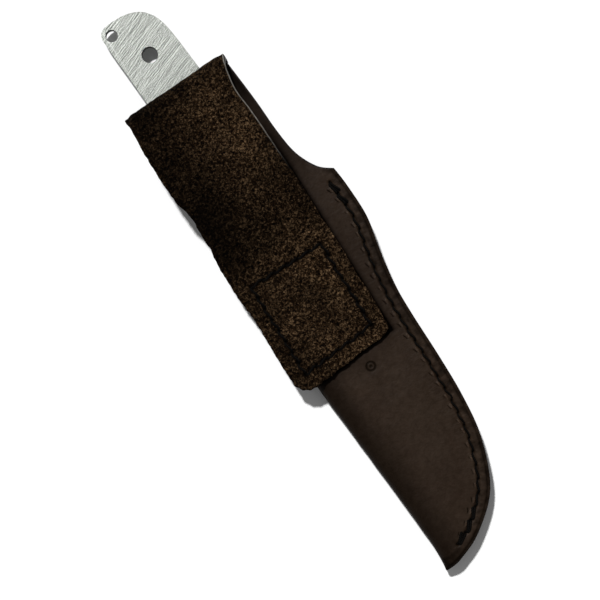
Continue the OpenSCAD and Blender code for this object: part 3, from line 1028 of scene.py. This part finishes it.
def flesh_tone_and_painted_shade(flat, place):
    """Brightness of the suede: dark on the left, warm at the top right and inside the box of stitches,
    with painted shade in the box's seam and holes and on the loop's fold.

    w is the distance down the strip from its fold, and x and y are places on it from its lower end.
    """
    _, d = fold_place(flat)
    w = d - FOLD_LEN
    xy = place[:, :2]
    q = on_strip(xy)
    x, y = q[:, 0], q[:, 1] + STRIP_LEN
    tone = 0.40 + 0.75 * smooth(x, -20, 14) - 0.32 * smooth(x, 12, 19)
    tone -= 0.05 * hump(x + 13, 10) * hump(w - 50, 28)
    tone += 0.55 * hump(np.hypot((x - 11) / 1.1, (w - 16) / 1.5), 13)
    tone -= 0.22 * hump(w - 46, 12)
    tone += 0.38 * smooth(w, 58, 76)
    tone += 0.38 * hump(np.hypot(x + 10, (y - 24) / 1.6), 8)
    tone += 0.25 * hump(np.hypot(x - 10, (y - 38) / 1.4), 6)
    tone += 0.30 * hump(np.hypot(x / 1.6, y - 9), 6)
    tone += 0.55 * hump(y - 1, 3.4) * smooth(x, -4, 12)
    band = turned(np.column_stack([x - 5, y - 25]), math.radians(-25))
    tone -= 0.50 * hump(np.hypot(band[:, 0] / 5, band[:, 1] / 14), 1)

    # painted shade in the box's seam hollow and in its holes
    inside = np.minimum(y - BOX_MARGIN, BOX_MARGIN + BOX_H - y)
    inside = np.minimum(inside, STRIP_HALF - BOX_MARGIN - np.abs(x))
    tone *= 1 - 0.7 * hump(inside, 0.55) * (w > SEWN_FROM)
    tone *= 1 - 0.95 * hump(find(xy, BOX_HOLES)[0], 1.0) * (w > SEWN_FROM)
    # painted shade on the loop's fold
    tone *= 1 - 0.45 * hump(w + 3, 5)
    return np.clip(tone, 0.12, 2.2)


SUEDE, BURNISHED, EDGE_PAINTED_HIGHLIGHT = 1, 2, 3  # the leather's materials after its grain side's, 0
DENT_RINGS = (0.3, 0.62, 1.0)  # radii of the rings of points round a stitch hole
DENT_CLEAR = 0.28
MARK_STEP = 0.2
ROUNDING = {"edge": 0.25, "front": 0.25, "strip": 0.45}  # how far in a cut edge starts to curve
OTHER_ROUNDING = 0.7


def on_loop(uv):
    """Which pattern points are on the belt loop's fold and strip."""
    return (uv[:, 0] > 0) & (fold_place(uv)[1] > 0)


def off_loop(uv):
    return ~on_loop(uv)


def on_back(uv):
    return (uv[:, 0] > -SPINE_BAND) & off_loop(uv)


def on_front(uv):
    return uv[:, 0] <= -SPINE_BAND


def frayed(outline, strip):
    """The outline with the strip's sides and end made uneven, though less so on its upper right."""
    clean = (outline[:, 0] > STRIP_MID) & (outline[:, 1] < STRIP_END_V - 55)
    amount = np.where(strip, np.where(clean, 0.25, 1.0), 0.0)[:, None] * right_of(outline)
    end = smooth(outline[:, 1], STRIP_END_V - 6, STRIP_END_V - 2)
    fringe = 0.22 * rough(outline, 1.4, 2, 51) + 0.25 * rough(outline, 6, 2, 61)
    fringe = fringe + end * (0.35 + 0.3 * noise(outline, 1.0, 55))
    return outline + amount * fringe[:, None]


def with_details(points, details):
    """Points with finer ones put in their place at some details."""
    return np.vstack([away_from(points, details, DENT_CLEAR), details])


def grain_points(outline):
    """Inner points of the grain side, finest at the edge seam's holes and the mark."""
    holes = np.column_stack([unroll(EDGE_HOLES[:, 0]), EDGE_HOLES[:, 1]])
    dents = rings(np.vstack([holes, holes * [-1, 1]]), DENT_RINGS)
    circle = MARK_REACH * np.column_stack([np.cos(ARC * 4), np.sin(ARC * 4)])[:-1]
    mark = fill(MARK_AT + [FLAT_SHIFT, 0] + circle, MARK_STEP)
    spacings = ((FINE, on_back), (FINE * 1.5, on_front), (COARSE, on_loop))
    points = np.vstack([fill(outline, spacing, where) for spacing, where in spacings])
    return with_details(points, np.vstack([dents, mark]))


def flesh_points(outline):
    """Inner points of the flesh side, finest at the holes of the box of stitches."""
    points = np.vstack([fill(outline, FINE * 0.9, on_loop), fill(outline, COARSE, off_loop)])
    return with_details(points, rings(over_fold(BOX_HOLES), DENT_RINGS))


def leather_edge_ids(outline, strip):
    """The cut edge is burnished, but on top of the strip it is suede, with a painted highlight along its
    upper right near the fold.
    """
    _, d = fold_place(outline)
    painted_edge_highlight = strip & (outline[:, 0] > FOLD_AT[0]) & (d > FOLD_LEN - 6) & (d < FOLD_LEN + 46)
    return [
        np.where(strip & (k > 2), np.where(painted_edge_highlight & (k > 3), EDGE_PAINTED_HIGHLIGHT, SUEDE), BURNISHED)
        for k in range(len(PROFILE) - 1)
    ]


def make_leather(materials):
    outline, kinds = pattern_outline(OUTLINE_STEP)
    strip = kinds == "strip"
    outline = frayed(outline, strip)
    rounding = np.array([ROUNDING.get(kind, OTHER_ROUNDING) for kind in kinds])
    fills = (grain_points(outline), flesh_points(outline))
    piece = make_sheet(
        "leather_sheath", outline, rounding, fills, fold, (grain_relief, flesh_relief),
        materials, leather_edge_ids(outline, strip), leather_fields,
    )
    stand_in(piece, "sheath_leather")


# ---- The welt ----

def welt_outline(step):
    """The welt follows the stitched edge, and fills the inside of the spine fold at the tip."""
    end_x = SPINE_REACH - SPINE_INNER[0] + 0.6
    outer = inset(EDGE, 0.12)
    inner = inset(EDGE, WELT_W)[::-1]
    outer = outer[outer[:, 0] > end_x + 1.2]
    inner = inner[inner[:, 0] > end_x]
    corner = [[end_x, outer[-1, 1] + 1.0]]
    return resample(np.vstack([outer, corner, inner, outer[:1]]), step)[:-1][::-1]


def flat_welt(xy):
    """The welt's two faces: it isn't folded, and is as thick as the pocket and a little over."""
    wave = 0.04 * noise(xy, 5, 71)
    top = np.column_stack([xy, POCKET_Z1 + 0.02 + wave])
    low = np.column_stack([xy, POCKET_Z0 - 0.02 + wave])
    return top, low


def no_relief(flat, place):
    return np.zeros(len(flat))


def make_welt(material):
    outline = welt_outline(0.6)
    rounding = np.full(len(outline), 0.4)
    inner = fill(outline, 1.5)
    edge_ids = np.zeros((len(PROFILE) - 1, len(outline)), int)
    piece = make_sheet(
        "leather_welt", outline, rounding, (inner, inner), flat_welt, (no_relief, no_relief),
        [material], edge_ids,
    )
    stand_in(piece, "welt")


# ---- Seams ----

STRAND_LIFT = 0.42  # the sewn-over strands lie this far up on the first ones
TOP_SUNK = 0.5  # how deep the threads lie in the upper faces' hollows
LOW_SUNK = 0.62


def runs_of(holes):
    """Stitches as pairs of neighbouring holes, each with how far it lies above its seam."""
    return [(a, b, 0.0) for a, b in zip(holes, holes[1:])]


def sewn_over(holes, splay):
    """The extra strands where a seam's end is sewn back over, splayed to each side of it."""
    runs = []
    for i, (a, b) in enumerate(zip(holes, holes[1:])):
        run = b - a
        side = np.array([-run[1], run[0]]) / np.linalg.norm(run)
        for turn in (1, -1):
            start = a + 0.3 * turn * splay * side
            end = b + turn * splay * side * (1 - 0.3 * i)
            runs.append((start, end, STRAND_LIFT))
    return runs


def make_seams(material):
    """The four threads, each sunk in its seam's hollow."""
    strip_z = BACK_Z + LAYER_GAP + LEATHER_T
    edge = runs_of(EDGE_HOLES)
    ends = sewn_over(EDGE_HOLES[:3], 1.0) + sewn_over(EDGE_HOLES[::-1][:4], 0.9)
    box = runs_of(np.vstack([BOX_HOLES, BOX_HOLES[:1]]))
    seams = [
        ("edge_needle_thread", edge + ends, BACK_Z - TOP_SUNK, 1),
        ("edge_bobbin_thread", edge, LOW_SUNK, -1),
        ("loop_needle_thread", box, strip_z - TOP_SUNK, 1),
        ("loop_bobbin_thread", box, POCKET_Z1 + LOW_SUNK, -1),
    ]
    for seed, (name, runs, z, up) in enumerate(seams, 80):
        stand_in(make_thread("sewn_" + name, runs, z, up, seed, material), name)


# ---- The knife ----

KNIFE_ROUND = 0.0003  # metres
SAME_POINT = 0.00001


def finish_knife(material):
    """The blank keeps its CAD shape; its edges are rounded and it gets ground steel."""
    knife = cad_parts["knife_blank"]
    knife.data.materials.clear()
    knife.data.materials.append(material)
    weld = knife.modifiers.new("weld", "WELD")
    weld.merge_threshold = SAME_POINT
    rounded = knife.modifiers.new("rounded", "BEVEL")
    rounded.width = KNIFE_ROUND
    rounded.segments = 3
    rounded.angle_limit = math.radians(50)
    for polygon in knife.data.polygons:
        polygon.use_smooth = True
    knife.modifiers.new("shading", "WEIGHTED_NORMAL").keep_sharp = True


# ---- Stage, light and camera ----

FLOOR_HALF = 4.0  # metres
FLOOR_GAP = 0.02
VIEW_TURN = math.radians(-36.3)  # the object lies turned in the camera's view
VIEW_AT = np.array([14.6, 118.2, BACK_Z])
VIEW_WIDTH = 230.8  # what the picture's width covers at the back panel
SUN_SIDE = -0.35  # how far across and up the picture the key light is, for each unit of height
SUN_UP = 0.63


def make_stage():
    material, tree = new_material("floor", Roughness=0.9, Specular_IOR_Level=0.1)
    at = node(tree, "TexCoord").outputs["Object"]
    plug(tree, Base_Color=blend(noise_node(at, 8), 0.3, 0.7, 0.86, 0.88))
    mesh = bpy.data.meshes.new("floor")
    signs = ((-1, -1), (1, -1), (1, 1), (-1, 1))
    mesh.from_pydata([(x * FLOOR_HALF, y * FLOOR_HALF, 0) for x, y in signs], [], [(0, 1, 2, 3)])
    mesh.materials.append(material)
    floor = add_object("floor", mesh)
    floor.location.z = (leather_lo[2] - FLOOR_GAP) * MM
    floor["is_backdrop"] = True


def make_light():
    """One high key light from the upper left, and a soft room that looks white to the camera."""
    world = bpy.data.worlds.new("soft_room")
    world.use_nodes = True
    tree = world.node_tree
    seen = node(tree, "LightPath").outputs["Is Camera Ray"]
    background = tree.nodes["Background"]
    background.inputs["Color"].default_value = (1, 1, 1, 1)
    tree.links.new(blend(seen, 0, 1, 0.24, 1), background.inputs["Strength"])
    bpy.context.scene.world = world
    sun = bpy.data.lights.new("key", "SUN")
    sun.angle = math.radians(3.8)
    sun.energy = 3.9
    across = Vector((math.cos(VIEW_TURN), math.sin(VIEW_TURN), 0))
    up = Vector((-math.sin(VIEW_TURN), math.cos(VIEW_TURN), 0))
    towards = Vector((0, 0, 1.0)) + across * SUN_SIDE + up * SUN_UP
    add_object("key", sun).rotation_euler = towards.to_track_quat("Z", "Y").to_euler()


def make_camera():
    """A camera straight above, as far off as fits VIEW_WIDTH."""
    data = bpy.data.cameras.new("camera")
    data.lens = 85.0
    data.sensor_width = 36.0
    data.clip_start = 0.01
    camera = add_object("camera", data)
    height = VIEW_WIDTH * MM * data.lens / data.sensor_width
    camera.location = Vector(in_frame(VIEW_AT)) + Vector((0, 0, height))
    camera.rotation_euler = (0, 0, VIEW_TURN)
    bpy.context.scene.camera = camera


def main():
    burnished = cut_edge("burnished_edge", (0.0045, 0.0030, 0.0024), (0.016, 0.011, 0.008), 0.45)
    # a grey painted highlight on the strip's cut edge near the fold, fading out down the strip
    strip_top = FOLD_AT[1] + FOLD_LEN
    fade = (strip_top + 22, strip_top + 44)
    painted_edge_highlight = cut_edge("cut_edge_painted_highlight", (0.06, 0.055, 0.047), (0.17, 0.16, 0.14), 0.5, fade)
    make_leather([grain_leather(), suede(), burnished, painted_edge_highlight])
    make_welt(burnished)
    make_seams(thread_material())
    finish_knife(ground_steel())
    make_stage()
    make_light()
    make_camera()
    bpy.context.scene.view_settings.view_transform = "Standard"
    boxes = {"cad": cad_box, "visual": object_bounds()}
    {name: [list(corner) for corner in box] for name, box in boxes.items()}


main()
